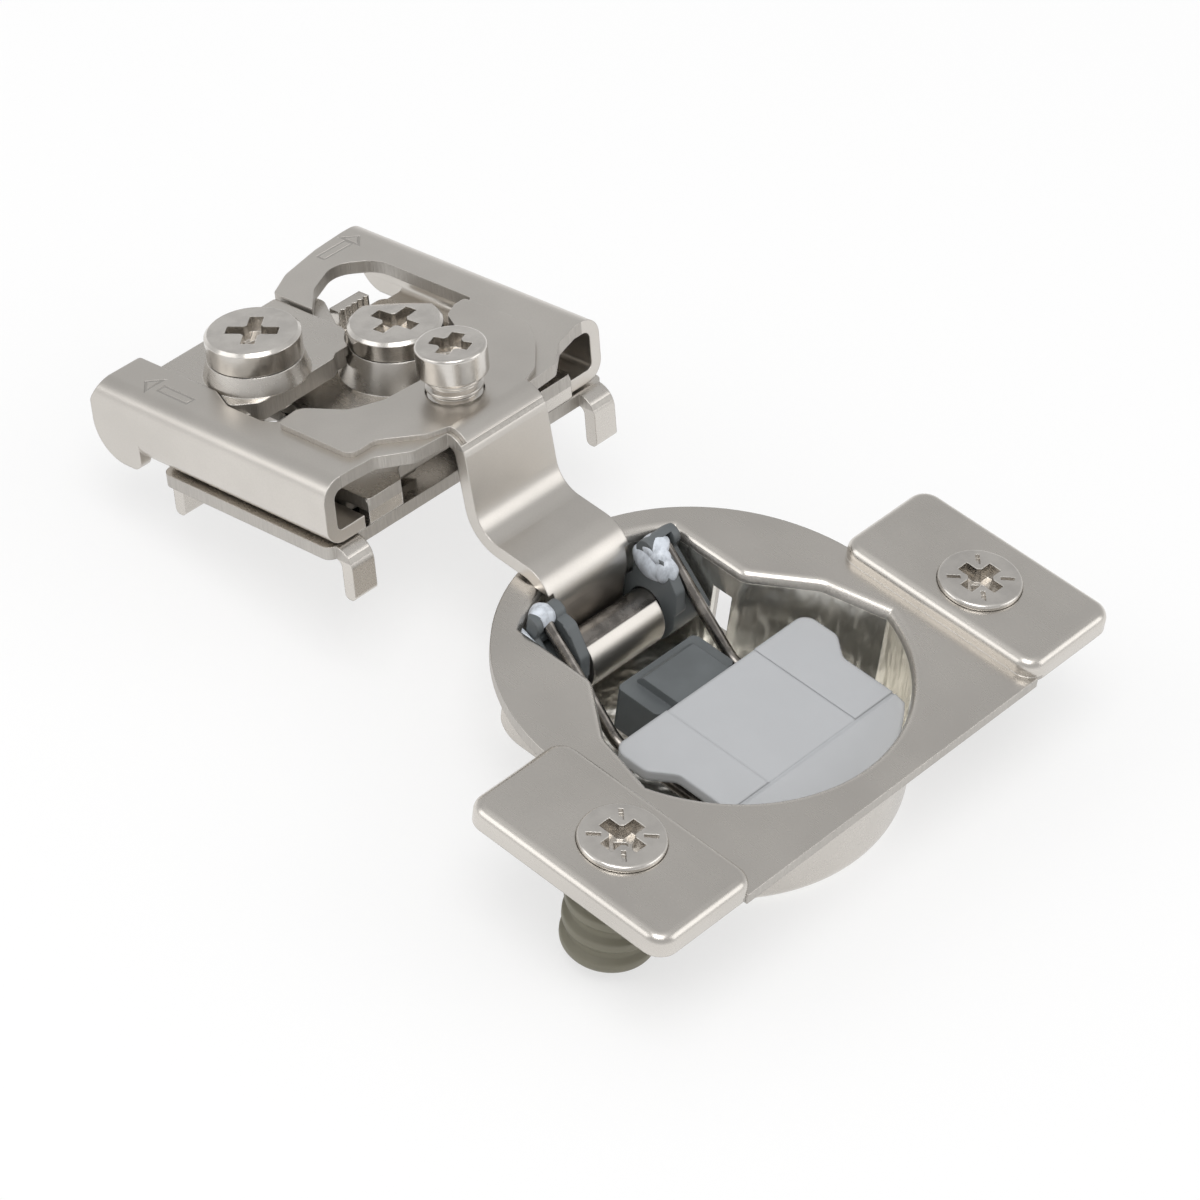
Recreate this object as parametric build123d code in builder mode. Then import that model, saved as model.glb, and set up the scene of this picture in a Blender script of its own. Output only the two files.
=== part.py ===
from build123d import *
import os
from math import acos, atan2, cos, degrees, hypot, radians, sin, sqrt, tan

os.makedirs("parts", exist_ok=True)

# A concealed cup hinge, drawn open. The origin is on the cup's axis, on the door's face.
# +Z leaves the door, +Y points to the frame side and +X along the two screw pads.
# All sizes are millimetres and degrees.

# Cup and its flange
bore_radius = 17.5
bore_gap = 0.05
rim_step = 0.2
cup_wall = 1.0
cup_depth = 10.6
cup_floor = 0.9
cup_bottom_round = 1.8
flange_sheet = 1.0
ring_radius = 18.86
lip_round = 0.9
slot_half_width = 9.4
slot_near = 5.4
shoulder_x = 13.6
shoulder_y = 0.2
shoulder_end_y = -5.8
outline_round = 1.5
rim_depth = 2.2
rim_width = 1.6
window_near = 6.2
window_length = 2.1
window_top = -2.2
window_height = 5.0

# Screw pads
pad_start = 17.4
pad_end = 28.7
pad_near = -19.4
pad_far = 1.7
pad_top = 2.5
pad_corner = 1.8
pad_edge_round = 0.9
skirt_bottom = 0.6

# Wing screws and dowels
dowel_spacing = 45.0
dowel_y = -9.5
dowel_radius = 4.0
dowel_depth = 9.2
dowel_collar_radius = 5.2
dowel_rib_pitch = 2.3
dowel_rib_depth = 0.5
dowel_ribs = 3
rib_slope_start = 0.25
rib_crest_start = 0.4
rib_crest_end = 0.7
rib_edge = 0.15
dowel_end_round = 1.0
wing_head_radius = 3.65
wing_head_rise = 0.5
wing_head_edge = 0.3
wing_shank_radius = 1.9
wing_shank_depth = 7.6
fit_gap = 0.05

# Hinge pin and rolled knuckle
pin_y = 12.1
pin_z = -4.8
pin_radius = 1.78
pin_run_gap = 0.07
pin_reach = 10.2

# Arm: block that stands open from the cup by its tilt
open_tilt = 13.0
block_y = 31.0
block_z = 9.7
arm_sheet = 1.2
channel_half_width = 17.1
channel_height = 6.2
channel_top_round = 2.0
channel_bottom_round = 1.8
channel_lip_inner = 12.8
channel_top_inner = 14.0
channel_near = -1.2
channel_near_right = -0.6
channel_far_left = 26.6
channel_far_right = 27.8
channel_lip_far = 22.5
channel_corner_round = 3.0
channel_end_lean = 0.8
channel_end_slope = 1.8
heel_start = 21.8
heel_depth = 7.2
heel_round = 3.6
neck_half_width = 5.0
knuckle_half_width = 4.4
knuckle_top = 0.9
neck_top_bend = 2.0
neck_foot_bend = 3.0
neck_drop_bend = 3.4
neck_corner_u = -5.54
neck_bend_reach = 1.75
inner_neck_half = 4.6
inner_wrap = 50
lip_cut_width = 3.0
neck_foot_y = 22.6
neck_shelf_z = 2.5
neck_drop_y = 14.0
knuckle_wrap = 235

# Plates of the block, heights are measured from the block's top face
inner_sheet = 0.5
inner_half_width = 12.7
tongue_top = -0.3
tongue_sheet = 1.8
ledge_sheet = 0.8
plate_gap = 0.1
mid_sheet = 1.2
mid_top = -3.6
mid_half_width = 12.4
mid_far = 21.2
slide_sheet = 1.1
base_sheet = 1.2
base_top = -6.4
base_half_width = 16.9
base_near = -1.0
base_far = 19.5
hook_depth = 11.3
hook_sheet = 1.2
hook_front_inner = 13.6
hook_rear_inner = 13.0
hook_width = 2.6
hook_bend = 1.3
fixing_radius = 2.2
fixing_u = 4.5
tab_inner = 8.5
tab_bottom = -6.1
mid_near = -1.4
mid_recess = 0.2
finger_left = 5.6
finger_right = 9.3
finger_near = 19.8
finger_top = -1.5
finger_tooth = 0.7
finger_teeth = 5
boss_base = 5.3
pip_radius = 1.4
head_room = 0.3
post_room = 3.3
post_fit = 1.6
crescent_far = ((-4.6, 9.3), (-0.6, 6.4), (3.9, 5.4))
crescent_near = (-0.9, 5.2)
slide_reach = 3.6
hook_front_far = -2.7
hook_rear_reach = 0.3
sight_x = -5.1
sight_u = 18.2
sight_size = 2.6

# Adjusting screws
side_head_radius = 3.1
side_head_height = 2.6
side_head_top = 5.0
side_thread_radius = 2.5
thread_depth = 0.42
thread_pitch = 0.85
thread_turns = 6
thread_root_share = 0.15
thread_crest_start = 0.45
thread_crest_end = 0.7
thread_edge = 0.05
side_foot = -2.9
cam_head_radius = 4.2
cam_edge = 0.3
cam_bevel_reach = 2.5
cam_bevel_angle = 26
cam_bevel_turn = 40
cam_shank_radius = 2.5
cam_run_gap = 0.05
cam_throw = 1.73
cam_travel_angle = 60
cam_post_radius = 1.4
cam_post_gap = 0.2
cam_flange_radius = 3.2
cam_flange_sheet = 0.7
depth_cam_x = -6.9
depth_cam_u = 17.0
depth_head_top = 3.7
depth_head_height = 2.2
height_cam_x = 4.7
height_cam_u = 11.7
height_head_top = 1.0
height_head_height = 1.8
cam_collar_base = 4.7
recess_width = 1.25
recess_depth = 1.4
recess_core = 2.15
recess_core_depth = 2.2
wing_recess_reach = 2.0
wing_tick_start = 1.7
wing_tick_reach = 2.9
wing_tick_width = 0.4
wing_tick_depth = 0.4
side_recess_reach = 1.8
cam_recess_reach = 2.3

# Spring wire and the two cam levers
lever_inner = 5.4
lever_outer = 8.9
lever_hub_radius = 3.2
blade_sheet = 1.3
cheek_sheet = 0.6
knob_radius = 0.95
knob_shift = 0.45
knob_web = 0.7
wire_radius = 0.55
wire_x = 7.35
wire_tip_y = 12.6
wire_tip_z = 0.9
wire_knee_y = 3.5
wire_knee_z = -6.6
wire_end_y = -13.3
wire_knee_bend = 3.0
wire_corner_bend = 2.0
lever_slot_length = 14.0
lever_slot_gap = 0.25
lever_wall_gap = 0.2

# Damper
cover_top = -1.6
cover_sheet = 1.0
cover_far = 0.4
cover_half_width = 12.1
cover_waist = 10.35
cover_waist_start = -3.2
cover_waist_end = -5.3
cover_fold = -10.9
cover_panel_half = 5.5
cover_panel_depth = 0.12
cover_groove_width = 0.3
cover_groove_depth = 0.15
cover_drop = 1.3
cover_corner = 1.2
cover_gap = 0.3
slider_head_half = 3.2
slider_foot_half = 4.9
slider_far = 6.3
slider_head_far = 5.5
slider_nose_near = 1.6
slider_back = -1.5
slider_step = 0.9
slider_bevel = 0.55
slider_bottom = -8.0
slider_run_gap = 0.1
damper_z = -5.9
damper_radius = 2.1
damper_far = -2.0
damper_length = 9.0
damper_wall = 0.4
rod_radius = 0.7
rod_back = -6.0
piston_length = 1.0
housing_half_width = 6.1
housing_far = -1.8
housing_near = -12.0
rail_width = 1.2
rail_length = 5.0
cover_rest_y = -6.5
slider_corner = 0.6

# Values that follow from the sizes above
rim_radius = bore_radius - bore_gap
cup_outer = rim_radius - rim_step
cup_inner = cup_outer - cup_wall
cup_bottom = -cup_depth
floor_top = cup_bottom + cup_floor
shoulder_end_x = sqrt(cup_inner ** 2 - shoulder_end_y ** 2)
pad_middle = (pad_start + pad_end) / 2
pad_under = pad_top - flange_sheet
knuckle_radius = pin_radius + pin_run_gap
tongue_bottom = tongue_top - tongue_sheet
mid_bottom = mid_top - mid_sheet
slide_top = mid_bottom - plate_gap
slide_bottom = slide_top - slide_sheet
base_bottom = base_top - base_sheet
cam_bore = cam_shank_radius + cam_run_gap
cam_travel = cam_throw * sin(radians(cam_travel_angle))
slide_half_width = mid_half_width - plate_gap
slide_far = depth_cam_u + slide_reach
slide_near = mid_near + mid_sheet + cam_travel + plate_gap
cam_swing_back = cam_throw * (1 - cos(radians(cam_travel_angle)))
depth_head_bottom = depth_head_top - depth_head_height
height_head_bottom = height_head_top - height_head_height
cover_bottom = cover_top - cover_sheet
slider_top = cover_bottom - slider_run_gap
slider_foot_top = slider_top - slider_step
housing_top = slider_foot_top - slider_run_gap
block = Plane(
    origin=(0, block_y, block_z),
    x_dir=(1, 0, 0),
    z_dir=(0, sin(radians(open_tilt)), cos(radians(open_tilt))),
)
block_side = Plane(origin=block.origin, x_dir=block.y_dir, z_dir=(1, 0, 0))
block_end = Plane(origin=block.origin, x_dir=(1, 0, 0), z_dir=-block.y_dir)


def outline(corners):
    """Adds the shape with these corners, each given as x, y and its rounding, to the open sketch."""
    with BuildLine() as edge:
        FilletPolyline(*[(x, y) for x, y, _ in corners], radius=[r for _, _, r in corners], close=True)
    make_face(edge.edges())


def on_block(u, v):
    """Side view (y, z) of a point u along the block and v above its top face."""
    tilt = radians(open_tilt)
    return (block_y + u * cos(tilt) + v * sin(tilt), block_z - u * sin(tilt) + v * cos(tilt))


def mirrored(corners):
    """The same corners followed by their mirror images across x = 0, in reverse order."""
    return corners + [(-x, y, r) for x, y, r in reversed(corners)]


def waist_outline(grow):
    """Adds the cup's waisted outline, wide at the near side and narrow at the slot, grown by grow."""
    side = slot_half_width + grow
    along = grow * tan(atan2(shoulder_x - slot_half_width, slot_near - shoulder_y) / 2)
    spread = shoulder_x + grow
    beyond = 2 * bore_radius
    outline(mirrored([
        (side, beyond, 0),
        (side, slot_near + along, outline_round - grow),
        (spread, shoulder_y + along, outline_round + grow),
        (shoulder_end_x + grow, shoulder_end_y, 0),
        (beyond, shoulder_end_y, 0),
        (beyond, -beyond, 0),
    ]))


def drawn_form(grow, bottom, top, bottom_round):
    """The bowl's form between two heights: the waisted outline within a round-bottomed drum."""
    with BuildPart(mode=Mode.PRIVATE) as form:
        with BuildSketch(Plane.XY.offset(bottom)):
            waist_outline(grow)
        extrude(amount=top - bottom)
        with BuildSketch(Plane.XZ) as drum:
            outline([
                (0, top, 0),
                (cup_inner + grow, top, 0),
                (cup_inner + grow, bottom, bottom_round),
                (0, bottom, 0),
            ])
        revolve(drum.sketch, axis=Axis.Z, mode=Mode.INTERSECT)
    return form.part


def cross_recess(face, reach, width, depth, turn=0.0):
    """Cuts a cross into the open part from a face, with cut inner corners and a deeper middle."""
    with BuildSketch(face) as cross:
        Rectangle(2 * reach, width, rotation=turn)
        Rectangle(width, 2 * reach, rotation=turn)
        Rectangle(recess_core, recess_core, rotation=turn + 45)
    extrude(cross.sketch, amount=-depth, taper=6, mode=Mode.SUBTRACT)
    with BuildSketch(face) as core:
        Rectangle(recess_core, recess_core, rotation=turn + 45)
    extrude(core.sketch, amount=-recess_core_depth, taper=20, mode=Mode.SUBTRACT)


def channel(side, near, far, lean):
    """One side channel of the arm's block: top strip, outer wall and lower lip.

    The wall's far end reaches past the top strip by lean.
    """
    with BuildPart(mode=Mode.PRIVATE) as rail:
        with BuildSketch(block_end.offset(-far - lean)):
            with BuildLine():
                FilletPolyline(
                    (side * channel_lip_inner, -channel_height),
                    (side * channel_half_width, -channel_height),
                    (side * channel_half_width, 0),
                    (side * channel_top_inner, 0),
                    radius=[channel_bottom_round, channel_top_round],
                )
                offset(amount=arm_sheet, side=Side.LEFT if side > 0 else Side.RIGHT)
            make_face()
        extrude(amount=far + lean - near)
        with BuildSketch(block_side.offset(-channel_half_width)) as wall:
            outline([
                (near, 0, 0),
                (far, 0, 0),
                (far + lean, -channel_end_slope, lean),
                (far + lean, -channel_height, channel_corner_round),
                (near, -channel_height, 0),
            ])
        extrude(wall.sketch, amount=2 * channel_half_width, mode=Mode.INTERSECT)
        lip_cut = far + lean - channel_lip_far
        with BuildSketch(block.offset(-channel_height)) as lip_end:
            with Locations((side * (channel_lip_inner + lip_cut_width / 2), channel_lip_far + lip_cut / 2)):
                Rectangle(lip_cut_width, lip_cut)
        extrude(lip_end.sketch, amount=channel_bottom_round, mode=Mode.SUBTRACT)
    return rail.part


# Right screw pad: a shallow box pressed up from the flange, open below
with BuildPart() as pad_shell:
    with BuildSketch(Plane.XY.offset(skirt_bottom)):
        with Locations((pad_middle, (pad_near + pad_far) / 2)):
            RectangleRounded(pad_end - pad_start, pad_far - pad_near, pad_corner)
    extrude(amount=pad_top - skirt_bottom)
    fillet(pad_shell.faces().sort_by(Axis.Z)[-1].edges(), radius=pad_edge_round)
    with BuildSketch():
        with Locations((pad_middle, (pad_near + pad_far) / 2)):
            RectangleRounded(
                pad_end - pad_start - 2 * flange_sheet,
                pad_far - pad_near - 2 * flange_sheet,
                pad_corner - flange_sheet,
            )
    extrude(amount=pad_under, mode=Mode.SUBTRACT)

# Cup: ring flange, two raised pads and the deep bowl, pressed from one sheet
with BuildPart() as cup:
    with BuildSketch():
        Circle(ring_radius)
        with Locations((0, (pad_near + shoulder_end_y) / 2)):
            Rectangle(2 * pad_start + 2 * cup_wall, shoulder_end_y - pad_near)
    extrude(amount=flange_sheet)
    with BuildSketch():
        Circle(rim_radius)
        Circle(rim_radius - rim_width, mode=Mode.SUBTRACT)
    extrude(amount=-rim_depth)
    add(drawn_form(cup_wall, cup_bottom, 0, cup_bottom_round))
    add(pad_shell.part)
    add(mirror(pad_shell.part, about=Plane.YZ, mode=Mode.PRIVATE))
    hollow = drawn_form(0, floor_top, pad_top, cup_bottom_round - cup_floor)
    add(hollow, mode=Mode.SUBTRACT)
    lip = cup.edges().filter_by_position(Axis.Z, flange_sheet, flange_sheet)
    fillet(lip.filter_by(lambda edge: edge.bounding_box().max.X < pad_start
                         and edge.bounding_box().min.X > -pad_start
                         and edge.bounding_box().min.Y > -ring_radius + lip_round
                         and edge.bounding_box().max.Y < ring_radius - lip_round), radius=lip_round)
    with Locations((0, window_near + window_length / 2, window_top - window_height / 2)):
        Box(2 * (slot_half_width + 2 * cup_wall), window_length, window_height, mode=Mode.SUBTRACT)
    with BuildSketch(Plane.YZ):
        with Locations((pin_y, pin_z)):
            Circle(pin_radius)
    extrude(amount=slot_half_width + 2 * cup_wall, both=True, mode=Mode.SUBTRACT)
    with Locations((dowel_spacing / 2, dowel_y, pad_top), (-dowel_spacing / 2, dowel_y, pad_top)):
        CounterSinkHole(
            radius=wing_shank_radius + 2 * fit_gap,
            counter_sink_radius=wing_head_radius + fit_gap,
            depth=2 * flange_sheet,
        )

cup.part.label = "cup"
export_step(cup.part, "parts/cup.step")

# Wing screws: countersunk screws with a cross and four extra ticks
for name, side in (("wing_screw_left", -1), ("wing_screw_right", 1)):
    spot = Vector(side * dowel_spacing / 2, dowel_y, 0)
    head = Plane(spot).offset(pad_top + wing_head_rise)
    cone_height = wing_head_radius - wing_shank_radius
    with BuildPart() as wing_screw:
        with BuildSketch(Plane(origin=spot, x_dir=(1, 0, 0), z_dir=(0, -1, 0))):
            outline([
                (0, pad_top + wing_head_rise, 0),
                (wing_head_radius, pad_top + wing_head_rise, wing_head_edge),
                (wing_head_radius, pad_top, 0),
                (wing_shank_radius, pad_top - cone_height, 0),
                (wing_shank_radius, -wing_shank_depth, 0),
                (0, -wing_shank_depth, 0),
            ])
        revolve(axis=Axis(spot, (0, 0, 1)))
        cross_recess(head, wing_recess_reach, recess_width, recess_depth)
        with BuildSketch(head):
            with PolarLocations((wing_tick_start + wing_tick_reach) / 2, 4, start_angle=45):
                Rectangle(wing_tick_reach - wing_tick_start, wing_tick_width)
        extrude(amount=-wing_tick_depth, mode=Mode.SUBTRACT)
    wing_screw.part.label = name
    export_step(wing_screw.part, f"parts/{name}.step")

# Dowels: ribbed plastic plugs with a collar that fills the pad
for name, side in (("dowel_left", -1), ("dowel_right", 1)):
    rib_root = dowel_radius - dowel_rib_depth
    rib_points = []
    rib_top = 0
    for rib in range(dowel_ribs):
        rib_points.append((rib_root, rib_top - dowel_rib_pitch * rib_slope_start, 0))
        rib_points.append((dowel_radius, rib_top - dowel_rib_pitch * rib_crest_start, rib_edge))
        rib_points.append((dowel_radius, rib_top - dowel_rib_pitch * rib_crest_end, rib_edge))
        rib_points.append((rib_root, rib_top - dowel_rib_pitch, 0))
        rib_top -= dowel_rib_pitch
    dowel_bore = wing_shank_radius + fit_gap
    collar_top = pad_under - 2 * fit_gap
    seat_radius = wing_head_radius - (pad_top - collar_top) + 2 * fit_gap
    spot = Vector(side * dowel_spacing / 2, dowel_y, 0)
    with BuildPart() as dowel:
        with BuildSketch(Plane(spot)):
            Circle(dowel_collar_radius)
            with Locations((side * pad_middle - spot.X, (pad_near + pad_far) / 2 - dowel_y)):
                Rectangle(
                    pad_end - pad_start - 2 * (flange_sheet + fit_gap),
                    pad_far - pad_near - 2 * (flange_sheet + fit_gap),
                    mode=Mode.INTERSECT,
                )
        extrude(amount=collar_top)
        with BuildSketch(Plane(origin=spot, x_dir=(1, 0, 0), z_dir=(0, -1, 0))):
            outline([
                (0, 0, 0),
                (rib_root, 0, 0),
                *rib_points[1:],
                (rib_root, rib_top - dowel_rib_pitch * rib_slope_start, 0),
                (dowel_radius, rib_top - dowel_rib_pitch * rib_crest_start, rib_edge),
                (dowel_radius, -dowel_depth, dowel_end_round),
                (0, -dowel_depth, 0),
            ])
        revolve(axis=Axis(spot, (0, 0, 1)))
        with BuildSketch(Plane(origin=spot, x_dir=(1, 0, 0), z_dir=(0, -1, 0))):
            outline([
                (0, collar_top + fit_gap, 0),
                (seat_radius, collar_top + fit_gap, 0),
                (dowel_bore, collar_top - seat_radius + dowel_bore, 0),
                (dowel_bore, -wing_shank_depth - fit_gap, 0),
                (0, -wing_shank_depth - fit_gap, 0),
            ])
        revolve(axis=Axis(spot, (0, 0, 1)), mode=Mode.SUBTRACT)
    dowel.part.label = name
    export_step(dowel.part, f"parts/{name}.step")

# Hinge pin through both slot walls, the knuckle and the levers
with BuildPart() as hinge_pin:
    with BuildSketch(Plane.YZ):
        with Locations((pin_y, pin_z)):
            Circle(pin_radius)
    extrude(amount=pin_reach, both=True)
    chamfer(hinge_pin.edges().filter_by(GeomType.CIRCLE), length=pin_radius / 8)

hinge_pin.part.label = "hinge_pin"
export_step(hinge_pin.part, "parts/hinge_pin.step")

# Damper cover: thin plate with an S-shaped waist, folded down along its near side
with BuildPart() as damper_cover:
    with BuildSketch(Plane.XY.offset(cover_top)):
        outline(mirrored([
            (cover_half_width, cover_far, cover_corner),
            (cover_half_width, cover_waist_start, cover_corner),
            (cover_waist, cover_waist_end, cover_corner),
            (cover_waist, cover_fold, 0),
        ]))
    extrude(amount=-cover_sheet)
    with BuildSketch(Plane.YZ):
        near = -(cup_inner - cover_gap)
        fall = cover_top - cover_drop
        with BuildLine():
            Polyline(
                (cover_fold, cover_top),
                (near, fall),
                (near, fall - cover_sheet),
                (cover_fold, cover_bottom),
                close=True,
            )
        make_face()
    extrude(amount=cover_waist, both=True)
    with BuildSketch(Plane.XY.offset(cover_top)):
        Circle(cup_inner - cover_gap)
    extrude(amount=-(cover_sheet + cover_drop), mode=Mode.INTERSECT)
    with BuildSketch(Plane.XY.offset(cover_top)):
        with Locations((0, (cover_fold + cover_far) / 2)):
            Rectangle(2 * cover_panel_half, cover_far - cover_fold)
    extrude(amount=-cover_panel_depth, mode=Mode.SUBTRACT)
    with BuildSketch(Plane.XY.offset(cover_top)):
        with Locations((0, cover_fold)):
            Rectangle(2 * cover_half_width, cover_groove_width)
    extrude(amount=-cover_groove_depth, mode=Mode.SUBTRACT)

damper_cover.part.label = "damper_cover"
export_step(damper_cover.part, "parts/damper_cover.step")

# Damper housing: plastic block in the bowl that holds the damper below the cover
with BuildPart() as damper_housing:
    with BuildSketch(Plane.XY.offset(floor_top)):
        with Locations((0, (housing_far + housing_near) / 2)):
            RectangleRounded(2 * housing_half_width, housing_far - housing_near, cover_corner)
    extrude(amount=housing_top - floor_top)
    with BuildSketch(Plane.XZ.offset(-housing_far)):
        with Locations((0, damper_z)):
            Circle(damper_radius + fit_gap)
    extrude(amount=housing_far - damper_far + damper_length + fit_gap, mode=Mode.SUBTRACT)
    for side in (-1, 1):
        with BuildSketch(Plane.XY.offset(housing_top)):
            with Locations((side * (slider_head_half + slider_run_gap + rail_width / 2), cover_rest_y)):
                Rectangle(rail_width, rail_length)
        extrude(amount=cover_bottom - housing_top)

damper_housing.part.label = "damper_housing"
export_step(damper_housing.part, "parts/damper_housing.step")

# Damper cylinder, open at the far end for its rod
with BuildPart() as damper_cylinder:
    with BuildSketch(Plane.XZ.offset(-damper_far)):
        with Locations((0, damper_z)):
            Circle(damper_radius)
    extrude(amount=damper_length)
    with BuildSketch(Plane.XZ.offset(-damper_far)):
        with Locations((0, damper_z)):
            Circle(rod_radius + cam_run_gap)
    extrude(amount=damper_length - damper_wall, mode=Mode.SUBTRACT)
    with BuildSketch(Plane.XZ.offset(-(damper_far - damper_wall))):
        with Locations((0, damper_z)):
            Circle(damper_radius - damper_wall)
    extrude(amount=damper_length - 2 * damper_wall, mode=Mode.SUBTRACT)

damper_cylinder.part.label = "damper_cylinder"
export_step(damper_cylinder.part, "parts/damper_cylinder.step")

# Damper rod with its piston, pushed into the cylinder by the slider
with BuildPart() as damper_rod:
    with BuildSketch(Plane.XZ.offset(-slider_nose_near)):
        with Locations((0, damper_z)):
            Circle(rod_radius)
    extrude(amount=slider_nose_near - rod_back)
    with BuildSketch(Plane.XZ.offset(-rod_back)):
        with Locations((0, damper_z)):
            Circle(damper_radius - damper_wall - cam_run_gap)
    extrude(amount=piston_length)

damper_rod.part.label = "damper_rod"
export_step(damper_rod.part, "parts/damper_rod.step")

# Damper slider: a nose block that the closing arm pushes, with a step and a bevelled far edge
with BuildPart() as damper_slider:
    with BuildSketch(Plane.XY.offset(slider_bottom)):
        with Locations((0, (slider_nose_near + slider_far) / 2)):
            RectangleRounded(2 * slider_foot_half, slider_far - slider_nose_near, slider_corner)
    extrude(amount=slider_foot_top - slider_bottom)
    with BuildSketch(Plane.XY.offset(slider_foot_top)):
        with Locations((0, (slider_back + slider_head_far) / 2)):
            Rectangle(2 * slider_head_half, slider_head_far - slider_back)
    extrude(amount=slider_step)
    top_edge = damper_slider.faces().sort_by(Axis.Z)[-1].edges().sort_by(Axis.Y)[-1]
    chamfer(top_edge, length=slider_bevel)

damper_slider.part.label = "damper_slider"
export_step(damper_slider.part, "parts/damper_slider.step")

# Spring wire: one piece of round wire bent to a U, its two tips held by the cam levers
with BuildPart() as spring_wire:
    with BuildLine() as wire_path:
        FilletPolyline(
            (-wire_x, wire_tip_y, wire_tip_z),
            (-wire_x, wire_knee_y, wire_knee_z),
            (-wire_x, wire_end_y, wire_knee_z),
            (wire_x, wire_end_y, wire_knee_z),
            (wire_x, wire_knee_y, wire_knee_z),
            (wire_x, wire_tip_y, wire_tip_z),
            radius=[wire_knee_bend, wire_corner_bend, wire_corner_bend, wire_knee_bend],
        )
    tip = wire_path.line
    with BuildSketch(Plane(origin=tip @ 0, z_dir=tip % 0)):
        Circle(wire_radius)
    sweep()

spring_wire.part.label = "spring_wire"
export_step(spring_wire.part, "parts/spring_wire.step")

# Cam levers: a blade beside the knuckle, a thin cheek by the slot's wall, a hub on the pin between them
# and a knob that holds the wire's tip
blade_outline = [
    (pin_y + 2.1, pin_z + 0.6, 0.4),
    (pin_y + 1.9, pin_z + 4.3, 0.8),
    (pin_y + 0.4, pin_z + 5.9, 0.9),
    (pin_y - 1.1, pin_z + 5.7, 0.8),
    (pin_y - 3.0, pin_z + 3.2, 0.9),
    (pin_y - 3.3, pin_z + 0.6, 0.6),
]
cheek_outline = [
    (pin_y + 2.3, pin_z + 0.6, 0.4),
    (pin_y + 2.2, pin_z + 4.6, 0.6),
    (pin_y + 1.0, pin_z + 5.4, 0.6),
    (pin_y - 4.4, pin_z + 0.9, 0.5),
    (pin_y - 3.0, pin_z - 0.4, 0.3),
]
for name, side in (("cam_lever_left", -1), ("cam_lever_right", 1)):
    lever_middle = side * (lever_inner + lever_outer) / 2
    lever_width = lever_outer - lever_inner
    with BuildPart() as cam_lever:
        with BuildSketch(Plane.YZ.offset(side * (lever_inner + blade_sheet / 2))):
            outline(blade_outline)
        extrude(amount=blade_sheet / 2, both=True)
        with BuildSketch(Plane.YZ.offset(side * (lever_outer - cheek_sheet / 2))):
            outline(cheek_outline)
        extrude(amount=cheek_sheet / 2, both=True)
        with BuildSketch(Plane.YZ.offset(lever_middle)):
            with Locations((pin_y, pin_z)):
                Circle(lever_hub_radius)
            with Locations((wire_tip_y + knob_shift, wire_tip_z)):
                Circle(knob_radius)
            with Locations((wire_tip_y + knob_shift, wire_tip_z - knob_radius)):
                Rectangle(2 * knob_web, 2 * knob_radius)
        extrude(amount=lever_width / 2, both=True)
        with BuildSketch(Plane.YZ.offset(side * wire_x)):
            with Locations((wire_tip_y, wire_tip_z)):
                slot_turn = degrees(atan2(wire_tip_z - wire_knee_z, wire_tip_y - wire_knee_y))
                with Locations(Location((0, 0), slot_turn)):
                    with Locations((-lever_slot_length / 2 + wire_radius, 0)):
                        Rectangle(lever_slot_length, 2 * (wire_radius + lever_slot_gap))
        extrude(amount=wire_radius + lever_slot_gap, both=True, mode=Mode.SUBTRACT)
        with BuildSketch(Plane.YZ.offset(lever_middle)):
            with Locations((pin_y, pin_z)):
                Circle(knuckle_radius)
        extrude(amount=lever_width, both=True, mode=Mode.SUBTRACT)
        with BuildSketch(Plane.XY.offset(cup_bottom)):
            Circle(cup_inner - lever_wall_gap)
        extrude(amount=2 * cup_depth, mode=Mode.INTERSECT)
    cam_lever.part.label = name
    export_step(cam_lever.part, f"parts/{name}.step")


# Arm: block channels, arch, bridge, goose neck and rolled knuckle, pressed from one sheet
window_edge = [
    (-12.0, 9.0, 0.8),
    (-10.0, 8.7, 1.2),
    (-7.7, 5.0, 1.6),
    (-4.8, 3.7, 2.0),
    (-0.5, 3.4, 2.0),
    (4.5, 5.2, 2.0),
    (7.6, 7.3, 1.2),
    (8.6, 9.2, 1.0),
    (10.2, 9.9, 0.8),
]
arch_edge = [
    (12.5, 10.0, 0.5),
    (12.5, 21.6, 3.0),
    (9.6, 24.4, 2.5),
    (5.5, 22.6, 3.0),
    (2.9, 20.2, 0),
    (2.9, 25.0, 0.4),
    (5.8, 26.5, 3.0),
    (10.5, 27.5, 3.0),
]
neck_bend_start = neck_corner_u + neck_bend_reach
shoulder_edge = [
    (11.3, -1.4, 1.2),
    (8.6, neck_bend_start + 0.3, 1.2),
    (neck_half_width, neck_bend_start, 0),
]
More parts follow.
